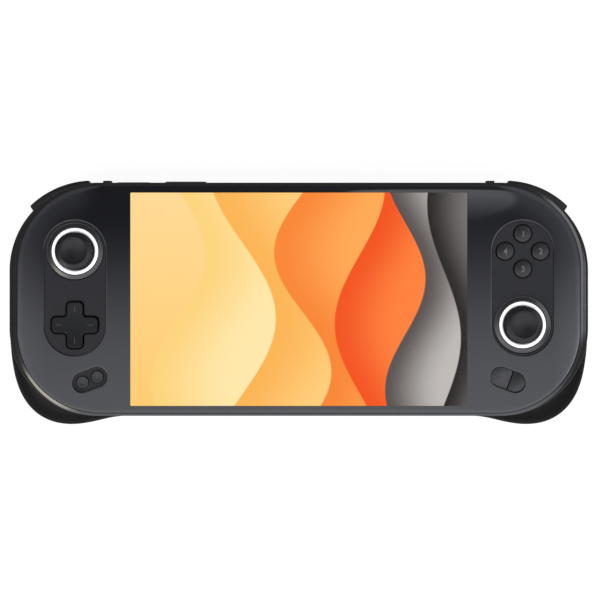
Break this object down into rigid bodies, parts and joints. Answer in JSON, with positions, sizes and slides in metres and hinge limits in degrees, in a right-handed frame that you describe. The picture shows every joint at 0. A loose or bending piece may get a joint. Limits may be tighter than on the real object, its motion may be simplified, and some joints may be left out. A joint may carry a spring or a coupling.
{
  "type": "handheld game console",
  "caption": "Handheld game console: a wide screen behind a round-cornered glass front, a thumbstick and buttons in an inset island on each side, shoulder keys on top and deep rear grips.",
  "frame": {"origin": "middle of the footprint, on the surface that the grips rest on", "axes": "+X to the right of the player, +Y to the top edge with the shoulder keys, +Z out of the screen"},
  "size_m": [0.2636, 0.1102, 0.0416],
  "materials": {
    "cover_glass": "polished, dark printed back",
    "frame_grey": "satin moulded grey",
    "grip_black": "fine moulded grain",
    "screen": "lit picture of warm bands",
    "alloy": "rolled sheet",
    "board_green": "solder mask",
    "cell_wrap": "shrink film",
    "copper": "drawn copper",
    "inner_black": "moulded",
    "steel": "plain",
    "ring_white": "white light diffuser",
    "stick_frame": "natural acetal",
    "cap_rubber": "soft matt",
    "membrane_rubber": "silicone",
    "button_plastic": "satin gloss",
    "key_plastic": "satin"
  },
  "bodies": {
    "console": {"front_glass": "cover_glass", "front_frame": "frame_grey", "rear_cover": "grip_black", "display_panel": "screen", "chassis_plate": "alloy", "main_board": "board_green", "io_board": "board_green", "left_thumb_board": "board_green", "right_thumb_board": "board_green", "battery": "cell_wrap", "ssd": "board_green", "heat_pipe": "copper", "fin_stack": "alloy", "fan_housing": "inner_black", "left_speaker": "inner_black", "right_speaker": "inner_black", "left_haptic_motor": "steel", "right_haptic_motor": "steel", "top_usb_port": "steel", "bottom_usb_port": "steel", "headphone_jack": "inner_black", "card_slot": "steel", "left_light_ring": "ring_white", "right_light_ring": "ring_white", "left_stick_base": "steel", "right_stick_base": "steel", "dpad_membrane": "membrane_rubber", "face_button_membrane": "membrane_rubber", "hinge_pins": "steel", "left_trigger_spring": "steel", "right_trigger_spring": "steel", "case_screws": "steel", "board_screws": "steel"},
    "left_stick_yoke": {"left_stick_yoke": "stick_frame"},
    "left_stick_pivot": {"left_stick_pivot": "stick_frame"},
    "left_stick": {"left_stick_stem": "stick_frame", "left_stick_cap": "cap_rubber"},
    "right_stick_yoke": {"right_stick_yoke": "stick_frame"},
    "right_stick_pivot": {"right_stick_pivot": "stick_frame"},
    "right_stick": {"right_stick_stem": "stick_frame", "right_stick_cap": "cap_rubber"},
    "dpad_ball": {"dpad_ball": "steel"},
    "dpad": {"dpad": "button_plastic"},
    "face_button_top": {"face_button_top": "button_plastic"},
    "face_button_right": {"face_button_right": "button_plastic"},
    "face_button_bottom": {"face_button_bottom": "button_plastic"},
    "face_button_left": {"face_button_left": "button_plastic"},
    "view_button": {"view_button": "button_plastic"},
    "menu_button": {"menu_button": "button_plastic"},
    "home_button": {"home_button": "button_plastic"},
    "quick_button": {"quick_button": "button_plastic"},
    "left_bumper": {"left_bumper": "key_plastic"},
    "right_bumper": {"right_bumper": "key_plastic"},
    "left_trigger": {"left_trigger": "key_plastic"},
    "right_trigger": {"right_trigger": "key_plastic"},
    "left_corner_key": {"left_corner_key": "key_plastic"},
    "right_corner_key": {"right_corner_key": "key_plastic"},
    "power_key": {"power_key": "key_plastic"},
    "volume_rocker": {"volume_rocker": "key_plastic"},
    "fan_impeller": {"fan_impeller": "inner_black"}
  },
  "joints": [
    {"name": "left_stick_up_down", "type": "hinge", "parent": "console", "child": "left_stick_yoke", "pos_m": [-0.1004, 0.02295, 0.03], "axis": [1, 0, 0], "range_deg": [-15, 15], "stiffness_Nm_per_rad": 0.008},
    {"name": "left_stick_left_right", "type": "hinge", "parent": "left_stick_yoke", "child": "left_stick_pivot", "pos_m": [-0.1004, 0.02295, 0.03], "axis": [0, 1, 0], "range_deg": [-15, 15], "stiffness_Nm_per_rad": 0.008},
    {"name": "left_stick_click", "type": "slide", "parent": "left_stick_pivot", "child": "left_stick", "axis": [0, 0, -1], "range_m": [0, 0.0005], "stiffness_N_per_m": 1500},
    {"name": "right_stick_up_down", "type": "hinge", "parent": "console", "child": "right_stick_yoke", "pos_m": [0.1004, -0.01005, 0.03], "axis": [1, 0, 0], "range_deg": [-15, 15], "stiffness_Nm_per_rad": 0.008},
    {"name": "right_stick_left_right", "type": "hinge", "parent": "right_stick_yoke", "child": "right_stick_pivot", "pos_m": [0.1004, -0.01005, 0.03], "axis": [0, 1, 0], "range_deg": [-15, 15], "stiffness_Nm_per_rad": 0.008},
    {"name": "right_stick_click", "type": "slide", "parent": "right_stick_pivot", "child": "right_stick", "axis": [0, 0, -1], "range_m": [0, 0.0005], "stiffness_N_per_m": 1500},
    {"name": "dpad_up_down", "type": "hinge", "parent": "console", "child": "dpad_ball", "pos_m": [-0.1004, -0.01005, 0.0305], "axis": [1, 0, 0], "range_deg": [-3.5, 3.5], "stiffness_Nm_per_rad": 0.02},
    {"name": "dpad_left_right", "type": "hinge", "parent": "dpad_ball", "child": "dpad", "pos_m": [-0.1004, -0.01005, 0.0305], "axis": [0, 1, 0], "range_deg": [-3.5, 3.5], "stiffness_Nm_per_rad": 0.02},
    {"name": "face_button_top_press", "type": "slide", "parent": "console", "child": "face_button_top", "axis": [0, 0, -1], "range_m": [0, 0.0012], "stiffness_N_per_m": 300},
    {"name": "face_button_right_press", "type": "slide", "parent": "console", "child": "face_button_right", "axis": [0, 0, -1], "range_m": [0, 0.0012], "stiffness_N_per_m": 300},
    {"name": "face_button_bottom_press", "type": "slide", "parent": "console", "child": "face_button_bottom", "axis": [0, 0, -1], "range_m": [0, 0.0012], "stiffness_N_per_m": 300},
    {"name": "face_button_left_press", "type": "slide", "parent": "console", "child": "face_button_left", "axis": [0, 0, -1], "range_m": [0, 0.0012], "stiffness_N_per_m": 300},
    {"name": "view_button_press", "type": "slide", "parent": "console", "child": "view_button", "axis": [0, 0, -1], "range_m": [0, 0.0006], "stiffness_N_per_m": 500},
    {"name": "menu_button_press", "type": "slide", "parent": "console", "child": "menu_button", "axis": [0, 0, -1], "range_m": [0, 0.0006], "stiffness_N_per_m": 500},
    {"name": "home_button_press", "type": "slide", "parent": "console", "child": "home_button", "axis": [0, 0, -1], "range_m": [0, 0.0006], "stiffness_N_per_m": 500},
    {"name": "quick_button_press", "type": "slide", "parent": "console", "child": "quick_button", "axis": [0, 0, -1], "range_m": [0, 0.0006], "stiffness_N_per_m": 500},
    {"name": "left_bumper_press", "type": "hinge", "parent": "console", "child": "left_bumper", "pos_m": [-0.0965, 0.05207, 0.0297], "axis": [0, 0, 1], "range_deg": [0, 2.4], "stiffness_Nm_per_rad": 0.15},
    {"name": "right_bumper_press", "type": "hinge", "parent": "console", "child": "right_bumper", "pos_m": [0.0965, 0.05207, 0.0297], "axis": [0, 0, -1], "range_deg": [0, 2.4], "stiffness_Nm_per_rad": 0.15},
    {"name": "left_trigger_pull", "type": "hinge", "parent": "console", "child": "left_trigger", "pos_m": [-0.10502, 0.04328, 0.023], "axis": [-0.9212, -0.3891, 0], "range_deg": [0, 15], "stiffness_Nm_per_rad": 0.06},
    {"name": "right_trigger_pull", "type": "hinge", "parent": "console", "child": "right_trigger", "pos_m": [0.10502, 0.04328, 0.023], "axis": [-0.9212, 0.3891, 0], "range_deg": [0, 15], "stiffness_Nm_per_rad": 0.06},
    {"name": "left_corner_key_press", "type": "slide", "parent": "console", "child": "left_corner_key", "axis": [0, -1, 0], "range_m": [0, 0.0006], "stiffness_N_per_m": 600},
    {"name": "right_corner_key_press", "type": "slide", "parent": "console", "child": "right_corner_key", "axis": [0, -1, 0], "range_m": [0, 0.0006], "stiffness_N_per_m": 600},
    {"name": "power_key_press", "type": "slide", "parent": "console", "child": "power_key", "axis": [0, -1, 0], "range_m": [0, 0.0003], "stiffness_N_per_m": 900},
    {"name": "volume_rock", "type": "hinge", "parent": "console", "child": "volume_rocker", "pos_m": [-0.051, 0.05165, 0.0292], "axis": [0, 0, 1], "range_deg": [-1.8, 1.8], "stiffness_Nm_per_rad": 0.05},
    {"name": "fan_spin", "type": "hinge", "parent": "console", "child": "fan_impeller", "pos_m": [-0.003, 0.02045, 0.0218], "axis": [0, 0, 1], "continuous": true}
  ]
}
